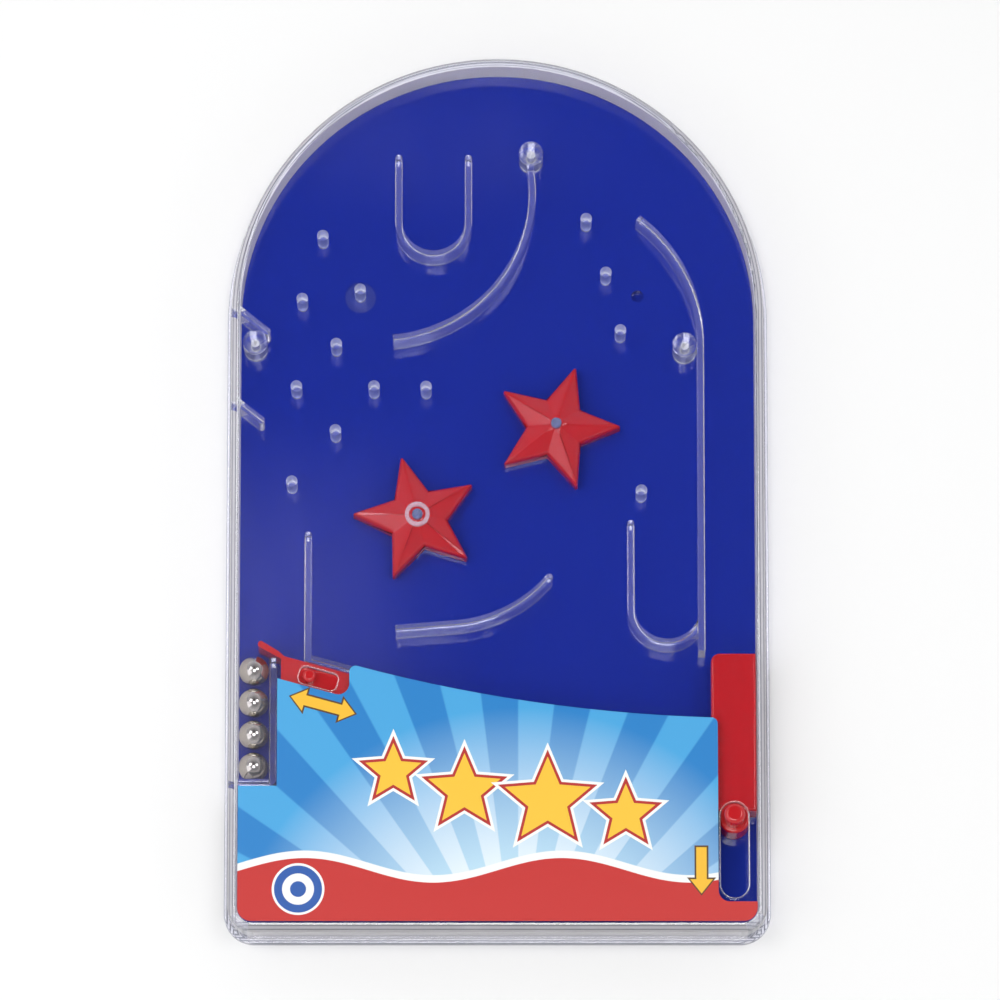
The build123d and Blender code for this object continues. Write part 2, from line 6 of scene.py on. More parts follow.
import bmesh
import bpy
import numpy as np
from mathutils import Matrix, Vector

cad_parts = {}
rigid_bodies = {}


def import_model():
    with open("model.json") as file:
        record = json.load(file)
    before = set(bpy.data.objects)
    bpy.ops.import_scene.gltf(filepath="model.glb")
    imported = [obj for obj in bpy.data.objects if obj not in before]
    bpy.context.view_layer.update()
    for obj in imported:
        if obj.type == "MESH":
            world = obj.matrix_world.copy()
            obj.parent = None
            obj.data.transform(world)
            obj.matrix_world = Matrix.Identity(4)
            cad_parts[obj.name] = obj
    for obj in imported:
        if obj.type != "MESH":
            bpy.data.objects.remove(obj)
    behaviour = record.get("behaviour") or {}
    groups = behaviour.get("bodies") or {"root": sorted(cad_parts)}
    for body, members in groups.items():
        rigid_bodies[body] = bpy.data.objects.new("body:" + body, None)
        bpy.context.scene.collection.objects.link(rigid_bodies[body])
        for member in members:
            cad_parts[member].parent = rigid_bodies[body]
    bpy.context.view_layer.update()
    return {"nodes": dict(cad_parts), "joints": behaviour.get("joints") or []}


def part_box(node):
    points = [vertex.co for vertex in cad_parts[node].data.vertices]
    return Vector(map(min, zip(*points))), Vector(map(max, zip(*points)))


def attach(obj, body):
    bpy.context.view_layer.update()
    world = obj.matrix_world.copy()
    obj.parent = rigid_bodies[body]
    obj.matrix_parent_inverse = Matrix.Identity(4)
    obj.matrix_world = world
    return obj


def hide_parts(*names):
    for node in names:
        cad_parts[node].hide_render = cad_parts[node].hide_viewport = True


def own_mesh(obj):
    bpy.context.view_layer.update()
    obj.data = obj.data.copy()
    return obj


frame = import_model()
nodes = frame["nodes"]

MM = 0.001

# Levels of the case, read from the frame
floor_low, floor_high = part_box("base_plate")
floor_level = floor_high.z
arch_level = floor_high.y - floor_high.x
ceiling_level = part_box("lane_rail")[1].z
left_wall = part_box("ball_lane_divider")[0].x

# Camera: the span of the playfield that it frames, where it stands, where its axis meets the playfield,
# its sensor's width in millimetres, and how far it sees in metres
image_span = 291.2 * MM
camera_foot = 640 * MM
camera_height = 2600 * MM
camera_rise = 0.065
aim_right = 0.75 * MM
aim_up = -0.9 * MM
sensor_width = 36.0
farthest_seen = 20.0


def rgb(code):
    """Linear RGBA of an sRGB hex colour."""
    srgb = np.array([int(code[i:i + 2], 16) for i in (1, 3, 5)]) / 255
    linear = np.where(srgb <= 0.04045, srgb / 12.92, ((srgb + 0.055) / 1.055) ** 2.4)
    return (*linear, 1.0)


def add(tree, kind, inputs=None, **settings):
    """Adds a node, sets its settings, and fills its inputs with values or links."""
    node = tree.nodes.new(kind)
    for name, value in settings.items():
        setattr(node, name, value)
    for key, value in (inputs or {}).items():
        if isinstance(value, bpy.types.NodeSocket):
            tree.links.new(value, node.inputs[key])
        else:
            node.inputs[key].default_value = value
    return node


def new_material(name):
    """Empty node material and its output node."""
    made = bpy.data.materials.new(name)
    made.use_nodes = True
    made.node_tree.nodes.clear()
    return made, made.node_tree, made.node_tree.nodes.new("ShaderNodeOutputMaterial")


def surface_material(name, **values):
    """Material of one even surface, from the shader's own values."""
    made, tree, out = new_material(name)
    inputs = {key.replace("_", " "): value for key, value in values.items()}
    shader = add(tree, "ShaderNodeBsdfPrincipled", inputs)
    tree.links.new(shader.outputs[0], out.inputs["Surface"])
    return made


def moulded_plastic(name, colour, roughness, ripple, ripple_depth, mark=None, mirror=0.5):
    """Injection-moulded opaque plastic: one deep colour, with gloss that wavers over the ripples that a wall
    gets as it cools, and that fine handling scuffs dull in places. A mark is a round spot of another tint."""
    made, tree, out = new_material(name)
    place = add(tree, "ShaderNodeTexCoord").outputs["Object"]
    waves = add(tree, "ShaderNodeTexNoise", {"Vector": place, "Scale": 1 / ripple, "Detail": 1.0})
    relief = add(tree, "ShaderNodeBump", {
        "Strength": 1.0, "Distance": ripple_depth, "Height": waves.outputs[0]})
    scuffs = add(tree, "ShaderNodeTexNoise", {
        "Vector": place, "Scale": 1 / scuff_size, "Detail": 5.0, "Roughness": 0.7})
    dulled = add(tree, "ShaderNodeMapRange", {
        0: scuffs.outputs[0], 1: scuff_range[0], 2: scuff_range[1],
        3: roughness, 4: scuffed_share * roughness}).outputs[0]
    shader = add(tree, "ShaderNodeBsdfPrincipled", {
        "Base Color": rgb(colour), "Roughness": dulled, "IOR": 1.55, "Specular IOR Level": mirror,
        "Normal": relief.outputs[0]})
    if mark:
        middle, radius, mark_colour = mark
        plan = add(tree, "ShaderNodeVectorMath", {0: place, 1: (1.0, 1.0, 0.0)},
                   operation="MULTIPLY").outputs[0]
        far = add(tree, "ShaderNodeVectorMath", {0: plan, 1: middle}, operation="DISTANCE").outputs["Value"]
        inside = add(tree, "ShaderNodeMapRange", {
            0: far, 1: radius - mark_softness, 2: radius, 3: 1.0, 4: 0.0}).outputs[0]
        tint = add(tree, "ShaderNodeMix", {0: inside, 6: rgb(colour), 7: rgb(mark_colour)}, data_type="RGBA")
        tree.links.new(tint.outputs[2], shader.inputs["Base Color"])
    tree.links.new(shader.outputs[0], out.inputs["Surface"])
    return made


def clear_polystyrene(name, colour, roughness, clarity, painted_lines_colour=None, mirror=0.5):
    """Crystal polystyrene, injection moulded: colourless, polished by the mould, and bright at its edges.
    Shadow rays pass straight through, so that the playfield is lit as it is through a thin clear cover.
    A painted line colour adds fine lines round the case, a painted reflection of the faces of its wall seen
    through one another: the tint follows the sine of the distance past the playfield's arch, sides and foot."""
    made, tree, out = new_material(name)
    body = add(tree, "ShaderNodeBsdfPrincipled", {
        "Base Color": rgb(colour), "Roughness": roughness, "IOR": 1.59, "Transmission Weight": clarity,
        "Specular IOR Level": mirror})
    if painted_lines_colour:
        place = add(tree, "ShaderNodeTexCoord").outputs["Object"]
        plan = add(tree, "ShaderNodeSeparateXYZ", {0: place})
        over = add(tree, "ShaderNodeMath", {0: plan.outputs[1], 1: arch_level},
                   operation="SUBTRACT").outputs[0]
        rise = add(tree, "ShaderNodeMath", {0: over, 1: 0.0}, operation="MAXIMUM").outputs[0]
        spoke = add(tree, "ShaderNodeCombineXYZ", {0: plan.outputs[0], 1: rise}).outputs[0]
        far = add(tree, "ShaderNodeVectorMath", {0: spoke}, operation="LENGTH").outputs["Value"]
        beside = add(tree, "ShaderNodeMath", {0: far, 1: floor_high.x}, operation="SUBTRACT").outputs[0]
        below = add(tree, "ShaderNodeMath", {0: floor_low.y, 1: plan.outputs[1]},
                    operation="SUBTRACT").outputs[0]
        past = add(tree, "ShaderNodeMath", {0: beside, 1: below}, operation="MAXIMUM").outputs[0]
        turns = add(tree, "ShaderNodeMath", {0: past, 1: 2 * np.pi / line_spacing},
                    operation="MULTIPLY").outputs[0]
        beat = add(tree, "ShaderNodeMath", {0: turns}, operation="SINE").outputs[0]
        line = add(tree, "ShaderNodeMapRange", {0: beat, 1: line_range[0], 2: line_range[1]}).outputs[0]
        tint = add(tree, "ShaderNodeMix", {0: line, 6: rgb(colour), 7: rgb(painted_lines_colour)}, data_type="RGBA")
        tree.links.new(tint.outputs[2], body.inputs["Base Color"])
    passing = add(tree, "ShaderNodeBsdfTransparent", {"Color": rgb("#f4f4f8")})
    ray = add(tree, "ShaderNodeLightPath")
    mix = add(tree, "ShaderNodeMixShader", {
        0: ray.outputs["Is Shadow Ray"], 1: body.outputs[0], 2: passing.outputs[0]})
    tree.links.new(mix.outputs[0], out.inputs["Surface"])
    return made


# Printed film: counts, shares, and sizes and places in millimetres
ray_count = 26
ray_softness = 0.08
burst_focus = (6.0, -150.0, 0.0)
glow_range = (35.0, 85.0)
wave_level = -113.0
wave_height = 3.6
wave_length = 74.0
wave_rim = 2.2
badge_stars = [(-30.0, -84.0, 8.5), (-9.5, -89.5, 11.0), (14.5, -92.5, 13.0), (37.0, -96.5, 9.0)]
star_rim = 1.6
badge_waist_share = 0.45
arrows = [((-50.4, -64.3), -15.5, 9.6, True), ((58.7, -113.0), -90.0, 6.8, False)]
arrow_head = 4.2
arrow_half_width = 3.3
arrow_shaft = 1.5
arrow_rim = 0.5
target_place = (-57.3, -118.5, 0.0)
target_ring = 2.3


def printed_film():
    """Glossy printed polypropylene film: flat inks under a smooth clear coat.
    An azure sunburst, a row of stars over a red wave, a round target, and yellow arrows beside
    the two slots."""
    made, tree, out = new_material("printed_film")
    place = add(tree, "ShaderNodeTexCoord").outputs["Object"]
    point = add(tree, "ShaderNodeVectorMath", {0: place, 1: (1 / MM, 1 / MM, 0.0)},
                operation="MULTIPLY").outputs[0]
    plan = add(tree, "ShaderNodeSeparateXYZ", {0: point})

    # Rays fan out from a focus below the film, paler towards it
    burst = add(tree, "ShaderNodeVectorMath", {0: point, 1: burst_focus}, operation="SUBTRACT").outputs[0]
    burst_plan = add(tree, "ShaderNodeSeparateXYZ", {0: burst})
    angle = add(tree, "ShaderNodeMath", {0: burst_plan.outputs[1], 1: burst_plan.outputs[0]},
                operation="ARCTAN2").outputs[0]
    turns = add(tree, "ShaderNodeMath", {0: angle, 1: ray_count}, operation="MULTIPLY").outputs[0]
    beat = add(tree, "ShaderNodeMath", {0: turns}, operation="SINE").outputs[0]
    rays = add(tree, "ShaderNodeMapRange", {0: beat, 1: -ray_softness, 2: ray_softness}).outputs[0]
    reach = add(tree, "ShaderNodeVectorMath", {0: burst}, operation="LENGTH").outputs["Value"]
    glow = add(tree, "ShaderNodeMapRange", {
        0: reach, 1: glow_range[0], 2: glow_range[1], 3: 1.0, 4: 0.0}).outputs[0]
    sky = add(tree, "ShaderNodeMix", {0: glow, 6: rgb("#107cc4"), 7: rgb("#bfe0f0")}, data_type="RGBA")
    pale = add(tree, "ShaderNodeMix", {0: glow, 6: rgb("#41a2db"), 7: rgb("#e9f3f7")}, data_type="RGBA")
    ink = add(tree, "ShaderNodeMix", {0: rays, 6: sky.outputs[2], 7: pale.outputs[2]},
              data_type="RGBA").outputs[2]

    # A red wave with a white rim runs along the foot
    phase = add(tree, "ShaderNodeMath", {0: plan.outputs[0], 1: 2 * np.pi / wave_length},
                operation="MULTIPLY")
    swell = add(tree, "ShaderNodeMath", {0: phase.outputs[0]}, operation="SINE").outputs[0]
    crest = add(tree, "ShaderNodeMath", {0: swell, 1: wave_height, 2: wave_level}, operation="MULTIPLY_ADD")
    for rise, colour in ((wave_rim, "#f1f3f2"), (0.0, "#c2211d")):
        line = add(tree, "ShaderNodeMath", {0: crest.outputs[0], 1: rise}, operation="ADD").outputs[0]
        mask = add(tree, "ShaderNodeMath", {0: plan.outputs[1], 1: line}, operation="LESS_THAN").outputs[0]
        ink = add(tree, "ShaderNodeMix", {0: mask, 6: ink, 7: rgb(colour)}, data_type="RGBA").outputs[2]

    # Five-pointed stars: the angle is folded into half a point, where one straight edge bounds the star
    half_point = np.pi / 5
    waist = badge_waist_share
    edge_angle = np.arctan2(1 - waist * np.cos(half_point), waist * np.sin(half_point))
    for star_x, star_y, radius in badge_stars:
        arm = add(tree, "ShaderNodeVectorMath", {0: point, 1: (star_x, star_y, 0.0)},
                  operation="SUBTRACT").outputs[0]
        arm_plan = add(tree, "ShaderNodeSeparateXYZ", {0: arm})
        turn = add(tree, "ShaderNodeMath", {0: arm_plan.outputs[0], 1: arm_plan.outputs[1]},
                   operation="ARCTAN2").outputs[0]
        fold = add(tree, "ShaderNodeMath", {0: turn, 1: half_point}, operation="PINGPONG").outputs[0]
        far = add(tree, "ShaderNodeVectorMath", {0: arm}, operation="LENGTH").outputs["Value"]
        lean = add(tree, "ShaderNodeMath", {0: fold, 1: edge_angle}, operation="SUBTRACT").outputs[0]
        share = add(tree, "ShaderNodeMath", {0: lean}, operation="COSINE").outputs[0]
        span = add(tree, "ShaderNodeMath", {0: share, 1: far}, operation="MULTIPLY").outputs[0]
        edge = radius * np.cos(edge_angle)
        for rim, colour in ((2 * star_rim, "#f4f4f0"), (star_rim, "#b3201d"), (0.0, "#f3c234")):
            mask = add(tree, "ShaderNodeMath", {0: span, 1: edge + rim / 2}, operation="LESS_THAN").outputs[0]
            ink = add(tree, "ShaderNodeMix", {0: mask, 6: ink, 7: rgb(colour)}, data_type="RGBA").outputs[2]

    # Arrows: the nearer of a straight shaft and a pointed head, in the arrow's own direction
    for (arrow_x, arrow_y), slope, half, double in arrows:
        own = add(tree, "ShaderNodeMapping", {
            0: point, "Location": (arrow_x, arrow_y, 0.0), "Rotation": (0.0, 0.0, np.radians(slope))},
            vector_type="TEXTURE").outputs[0]
        own_plan = add(tree, "ShaderNodeSeparateXYZ", {0: own})
        along = own_plan.outputs[0]
        if double:
            along = add(tree, "ShaderNodeMath", {0: along}, operation="ABSOLUTE").outputs[0]
        across = add(tree, "ShaderNodeMath", {0: own_plan.outputs[1]}, operation="ABSOLUTE").outputs[0]
        back = add(tree, "ShaderNodeMath", {0: -half, 1: along}, operation="SUBTRACT").outputs[0]
        neck = add(tree, "ShaderNodeMath", {0: along, 1: half - arrow_head}, operation="SUBTRACT").outputs[0]
        side = add(tree, "ShaderNodeMath", {0: across, 1: arrow_shaft}, operation="SUBTRACT").outputs[0]
        ends = add(tree, "ShaderNodeMath", {0: back, 1: neck}, operation="MAXIMUM").outputs[0]
        shaft = add(tree, "ShaderNodeMath", {0: ends, 1: side}, operation="MAXIMUM").outputs[0]
        barb = add(tree, "ShaderNodeMath", {0: neck, 1: arrow_half_width / arrow_head},
                   operation="MULTIPLY").outputs[0]
        flank = add(tree, "ShaderNodeMath", {0: across, 1: barb}, operation="ADD").outputs[0]
        wing = add(tree, "ShaderNodeMath", {0: flank, 1: arrow_half_width}, operation="SUBTRACT").outputs[0]
        base = add(tree, "ShaderNodeMath", {0: neck, 1: -1.0}, operation="MULTIPLY").outputs[0]
        head = add(tree, "ShaderNodeMath", {0: wing, 1: base}, operation="MAXIMUM").outputs[0]
        near = add(tree, "ShaderNodeMath", {0: shaft, 1: head}, operation="MINIMUM").outputs[0]
        for rim, colour in ((arrow_rim, "#54360f"), (0.0, "#f1bb2c")):
            mask = add(tree, "ShaderNodeMath", {0: near, 1: rim}, operation="LESS_THAN").outputs[0]
            ink = add(tree, "ShaderNodeMix", {0: mask, 6: ink, 7: rgb(colour)}, data_type="RGBA").outputs[2]

    # A round target with even rings
    aim = add(tree, "ShaderNodeVectorMath", {0: point, 1: target_place}, operation="DISTANCE")
    for rings, colour in ((3.3, "#f1f3f2"), (3.0, "#1c55a8"), (2.0, "#f1f3f2"), (1.0, "#1c55a8")):
        mask = add(tree, "ShaderNodeMath", {0: aim.outputs["Value"], 1: rings * target_ring},
                   operation="LESS_THAN").outputs[0]
        ink = add(tree, "ShaderNodeMix", {0: mask, 6: ink, 7: rgb(colour)}, data_type="RGBA").outputs[2]

    shader = add(tree, "ShaderNodeBsdfPrincipled", {
        "Base Color": ink, "Roughness": 0.32, "IOR": 1.5, "Coat Weight": 0.3, "Coat Roughness": 0.06})
    tree.links.new(shader.outputs[0], out.inputs["Surface"])
    return made


# Opaque mouldings: how fine their scuffs are, the range of the noise over which they deepen,
# how much duller a scuff is than polish, and how softly a mark ends
scuff_size = 2.5 * MM
scuff_range = (0.4, 0.75)
scuffed_share = 1.4
mark_softness = 0.5 * MM
# The sprue's round mark on the floor, under one of the upper pins
gate_mark = ((-40.1 * MM, 60.5 * MM, 0.0), 4.7 * MM, "#37428e")
# Blue polystyrene: deep even colour with a mirror-like mould polish that reflects the pins and stars
blue_polystyrene = moulded_plastic("blue_polystyrene", "#172b90", 0.07, 42 * MM, 0.03 * MM, gate_mark)
# Red ABS: saturated and glossy, with soft highlights on rounded edges
red_abs = moulded_plastic("red_abs", "#bb121b", 0.14, 8 * MM, 0.008 * MM)
# Red polystyrene of the stars: facets polished by the mould, with crisp light lines along their rounded
# ridges
star_polystyrene = moulded_plastic("star_polystyrene", "#c0161e", 0.07, 9 * MM, 0.012 * MM, mirror=0.65)
# The stars' rounded valleys: a paler red, a painted highlight along them
star_valley_painted_highlight = moulded_plastic("painted_highlight_star_valleys", "#e2696b", 0.05, 9 * MM, 0.012 * MM)
# The stars' upright sides: matt from the other half of the mould, and painted a pale pink as light falling on
# them from the front
star_side = moulded_plastic("painted_light_star_sides", "#d18288", 0.45, 3 * MM, 0.01 * MM)
# Bearing steel, lapped: a slightly warm mirror
lapped_steel = surface_material("lapped_steel", Base_Color=rgb("#d8d3c8"), Metallic=1.0, Roughness=0.07)
# Zinc-plated steel of the screws: a pale dull metal
zinc_steel = surface_material("zinc_steel", Base_Color=rgb("#c9cacb"), Metallic=1.0, Roughness=0.3)
# Drawn spring wire: darker and duller than the balls
spring_wire_steel = surface_material(
    "spring_wire_steel", Base_Color=rgb("#a9abad"), Metallic=1.0, Roughness=0.35)
# The plate of the cover: polished on both sides, so that only its reflections show
crystal = clear_polystyrene("crystal_polystyrene", "#f1f1f8", 0.02, 1.0)
# The wall's outside: painted with grey and white lines, one within another, a painted reflection of its faces
# seen along its depth
line_spacing = 0.95 * MM
line_range = (0.2, 0.9)
wall_crystal = clear_polystyrene("wall_polystyrene", "#f2f2f7", 0.02, 0.95, "#6f7280")
# The wall's inside: a light lilac grey, less well polished than the plate
inner_crystal = clear_polystyrene("inner_wall_polystyrene", "#efe9e4", 0.3, 0.6, mirror=0.1)
# Rails, from cuts in the mould that are less well polished: a trace of haze between their bright edges
rail_crystal = clear_polystyrene("rail_polystyrene", "#f2f3fa", 0.05, 0.92)
# Pins, from drilled cores: frosted by the drill, so milky; their blue-grey tint is painted shade, with the
# floor's blue in it
frosted_pin_painted_shade = clear_polystyrene("frosted_pins_painted_shade", "#b0b8de", 0.3, 0.93)
# Bosses: clear, with their bores showing inside
boss_crystal = clear_polystyrene("boss_polystyrene", "#f4f5fb", 0.05, 0.95)
# Pivots, in the bores of the stars: painted bluish white, a painted glow of light and of the blue floor seen
# down them
pivot_painted_light = clear_polystyrene("painted_light_pivots", "#b4c0e8", 0.12, 0.8)
# The collar and the rims of the slots, rounded: partly clear, and painted whiter as a highlight along their
# edges
edge_painted_highlight = clear_polystyrene("painted_highlight_edges", "#f6f6fa", 0.12, 0.8)
# Feet of the pins and bosses, and bores: painted white, a painted highlight where light gathers in them
painted_highlight_white = clear_polystyrene("painted_white_highlight", "#f4f6fc", 0.2, 0.6)
film = printed_film()


def dress(node, made):
    """Gives a CAD node its material."""
    nodes[node].data.materials.clear()
    nodes[node].data.materials.append(made)


for name in ("base_plate", "slide_guides", "spring_post"):
    dress(name, blue_polystyrene)
for name in ("shooter_slide", "lock_slider"):
    dress(name, red_abs)
for name in ("ball_1", "ball_2", "ball_3", "ball_4"):
    dress(name, lapped_steel)
dress("cover_screws", zinc_steel)
dress("printed_label", film)

# Clear moulding: the cover and everything moulded with it, as the one piece that it is
moulded_nodes = {
    "cover_pins": frosted_pin_painted_shade, "screw_bosses": boss_crystal, "star_pivots": pivot_painted_light,
    "u_pocket_rail": rail_crystal, "sweep_rail": rail_crystal, "lane_rail": rail_crystal,
    "side_pocket_rail": rail_crystal, "low_rail": rail_crystal, "drain_rail": rail_crystal,
    "wall_deflectors": rail_crystal, "ball_lane_divider": rail_crystal,
}
# How far its features reach into the cover, swell at their sides, and stand off the floor
root_depth = 0.6 * MM
seam_closing = 0.04 * MM
foot_gap = 0.06 * MM
# Where finishes change: heights of the feet painted white as a highlight, a bore's distance from its screw,
# the collar's distances from the star's axis, and how far past the floor's edge the wall's inside lies
pin_foot = 1.4 * MM
boss_foot = 2.5 * MM
bore_reach = 0.8 * MM
collar_reach = (2 * MM, 5 * MM)
inner_face_depth = 0.5 * MM
# Limits on the parts of a normal and on distances, for telling faces and points apart
upright_facing = 0.1
side_facing = 0.3
level_slack = 0.02 * MM
wall_slack = 5 * level_slack
least_length = 1e-9
square_facing = 0.99995
weld_distance = 0.002 * MM
crease_angle = np.radians(50)


def merged_copy(node):
    """Copy of a CAD node's mesh with its loose triangles merged and its stored normals dropped."""
    mesh = nodes[node].data.copy()
    if "custom_normal" in mesh.attributes:
        mesh.attributes.remove(mesh.attributes["custom_normal"])
    edit = bmesh.new()
    edit.from_mesh(mesh)
    bmesh.ops.remove_doubles(edit, verts=edit.verts, dist=weld_distance)
    edit.to_mesh(mesh)
    edit.free()
    return mesh


def rooted(mesh, rise):
    """Fits a moulded feature to the cover: sides swell along their level normals to close seams,
    tops at the ceiling move by the rise, ends at the left wall move into it, and feet leave the floor."""
    count = len(mesh.vertices)
    points = np.empty(count * 3)
    normals = np.empty(count * 3)
    mesh.vertices.foreach_get("co", points)
    mesh.vertices.foreach_get("normal", normals)
    points = points.reshape(-1, 3)
    sideways = normals.reshape(-1, 3) * (1.0, 1.0, 0.0)
    length = np.linalg.norm(sideways, axis=1, keepdims=True)
    points += np.where(length > side_facing, sideways / np.maximum(length, least_length), 0.0) * seam_closing
    points[:, 2] += np.where(points[:, 2] > ceiling_level - level_slack, rise, 0.0)
    points[:, 2] += np.where(points[:, 2] < floor_level + level_slack, foot_gap, 0.0)
    points[:, 0] -= np.where(points[:, 0] < left_wall + wall_slack, root_depth, 0.0)
    mesh.vertices.foreach_set("co", points.ravel())
    mesh.update()
    return mesh


def past_playfield(points):
    """How far points lie past the floor's edge: from its half circle above the straight sides, and from the
    nearest of its sides and foot below it. It is negative over the floor."""
    rise = np.maximum(points[:, 1] - arch_level, 0)
    beside = np.hypot(points[:, 0], rise) - floor_high.x
    return np.maximum(beside, floor_low.y - points[:, 1])


def star_axis(body):
    """Level place of a star's axis, from its joint."""
    spin = next(joint for joint in frame["joints"] if joint["child"] == body)
    return np.array(spin["pos_m"][:2])


def gap_to_screws(points):
    """Level distance from points to the nearest point of a screw's shank."""
    mesh = nodes["cover_screws"].data
    shank = np.empty(len(mesh.vertices) * 3)
    mesh.vertices.foreach_get("co", shank)
    shank = shank.reshape(-1, 3)
    shank = shank[shank[:, 2] > floor_level, :2]
    return np.linalg.norm(points[:, None, :2] - shank[None], axis=2).min(axis=1)


def clear_moulding():
    """Union of the cover with its rooted pins, bosses and rails. The pivots stay a hair below the plate,
    so that their ends, painted bluish white, show."""
    features = bpy.data.collections.new("moulded_features")
    for node, finish in moulded_nodes.items():
        rise = -foot_gap if node == "star_pivots" else root_depth
        feature = bpy.data.objects.new(node + "_root", rooted(merged_copy(node), rise))
        feature.data.materials.clear()
        feature.data.materials.append(finish)
        features.objects.link(feature)
    cover = bpy.data.objects.new("clear_moulding", merged_copy("clear_cover"))
    cover.data.materials.clear()
    cover.data.materials.append(crystal)
    bpy.context.scene.collection.objects.link(cover)
    union = cover.modifiers.new("union", "BOOLEAN")
    union.operation = "UNION"
    union.operand_type = "COLLECTION"
    union.collection = features
    union.solver = "EXACT"
    union.material_mode = "TRANSFER"
    bpy.context.view_layer.update()
    fused = bpy.data.meshes.new_from_object(cover.evaluated_get(bpy.context.evaluated_depsgraph_get()))
    cover.modifiers.clear()
    cover.data = fused
    for feature in list(features.objects):
        bpy.data.objects.remove(feature)
    bpy.data.collections.remove(features)
    count = len(fused.polygons)
    facing = np.empty(count * 3)
    centres = np.empty(count * 3)
    finishes = np.empty(count, dtype=np.int32)
    fused.polygons.foreach_get("normal", facing)
    fused.polygons.foreach_get("center", centres)
    fused.polygons.foreach_get("material_index", finishes)
    facing = facing.reshape(-1, 3)
    centres = centres.reshape(-1, 3)
    fused.set_sharp_from_angle(angle=crease_angle)
    fused.polygons.foreach_set("use_smooth", np.abs(facing).max(axis=1) < square_facing)
    index = {finish.name: place for place, finish in enumerate(fused.materials)}
    for finish in (wall_crystal, inner_crystal, edge_painted_highlight, painted_highlight_white):
        fused.materials.append(finish)
        index[finish.name] = len(fused.materials) - 1
    cover_faces = finishes == index[crystal.name]
    plate = (np.abs(facing[:, 2]) > square_facing) & (centres[:, 2] > ceiling_level - level_slack)
    outside = past_playfield(centres)
    upright = np.abs(facing[:, 2]) < upright_facing
    slot_rim = cover_faces & ~plate & (outside < 0)
    inner_face = cover_faces & upright & (outside >= 0) & (outside < inner_face_depth)
    wall_face = cover_faces & ~plate & (outside >= 0) & ~inner_face
    height = centres[:, 2] - floor_level
    foot = (finishes == index[frosted_pin_painted_shade.name]) & (height < pin_foot)
    foot |= (finishes == index[boss_crystal.name]) & (height < boss_foot)
    foot &= np.abs(facing[:, 2]) < square_facing
    bore = (finishes == index[boss_crystal.name]) & (gap_to_screws(centres) < bore_reach)
    off_axis = np.linalg.norm(centres[:, :2] - star_axis("left_star"), axis=1)
    collar = (off_axis > collar_reach[0]) & (off_axis < collar_reach[1])
    collar &= finishes == index[pivot_painted_light.name]
    # Slot rims and the collar take the whiter finish: a painted highlight along their edges
    finishes[slot_rim | collar] = index[edge_painted_highlight.name]
    # Feet and bores take the white finish: a painted highlight
    finishes[foot | bore] = index[painted_highlight_white.name]
    finishes[inner_face] = index[inner_crystal.name]
    # The wall's outside faces take the painted lines
    finishes[wall_face] = index[wall_crystal.name]
    fused.polygons.foreach_set("material_index", finishes)
    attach(cover, "case")
    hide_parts("clear_cover", *moulded_nodes)


clear_moulding()

# Stars: their points, the height of their sides, the share of the reach that counts as a tip,
# the least upward part of a roof's normal, and the rounding of valleys and rims
star_points = 5
star_side_height = 4.8 * MM
tip_share = 0.95
roof_facing = 0.3
round_profile = 0.5
valley_rounding = 0.3 * MM
valley_steps = 2
rim_rounding = 1.3 * MM
rim_steps = 5
# Rounding of the stars' ridges: half its width, the slope beside it, the places of its cuts,
# and where it opens and closes along an arm
ridge_half_width = 1.7 * MM
ridge_slope = 0.47
ridge_cuts = (-1.0, -0.67, -0.33, 0.0, 0.33, 0.67, 1.0)
ridge_start = (3.4 * MM, 8 * MM)
ridge_end = (9 * MM, 17 * MM)
ridge_end_share = 0.3
# Limits on a star's edges, the weight of large faces in its shading, and its finishes
shortest_ridge = 1.5 * MM
flat_angle = np.radians(1)
star_crease_angle = np.radians(65)
shading_weight = 50
star_finishes = (star_polystyrene, star_valley_painted_highlight, star_side)


def ramp(values, ends):
    """Smooth step from 0 at the first end to 1 at the second."""
    share = np.clip((values - ends[0]) / (ends[1] - ends[0]), 0, 1)
    return share * share * (3 - 2 * share)


def rounded_ridges(mesh, centre, turn, shoulder):
    """Lowers a star's ridges into round crests: at a distance s across a ridge, within a half width w
    that opens and closes along the arm, the roof drops by slope (w - s)^2 / 2w, so that it meets both
    facets smoothly."""
    points = np.empty(len(mesh.vertices) * 3)
    mesh.vertices.foreach_get("co", points)
    points = points.reshape(-1, 3)
    spokes = (points[:, :2] - centre) @ (1, 1j)
    sector = 2 * np.pi / star_points
    swing = (np.angle(spokes) - turn + sector / 2) % sector - sector / 2
    along = np.abs(spokes) * np.cos(swing)
    across = np.abs(np.abs(spokes) * np.sin(swing))
    narrowing = 1 - (1 - ridge_end_share) * ramp(along, ridge_end)
    width = ridge_half_width * ramp(along, ridge_start) * narrowing
    reach = np.maximum(width - across, 0) * (points[:, 2] > shoulder - level_slack)
    points[:, 2] -= ridge_slope * reach ** 2 / (2 * np.maximum(width, level_slack))
    mesh.vertices.foreach_set("co", points.ravel())
    mesh.update()


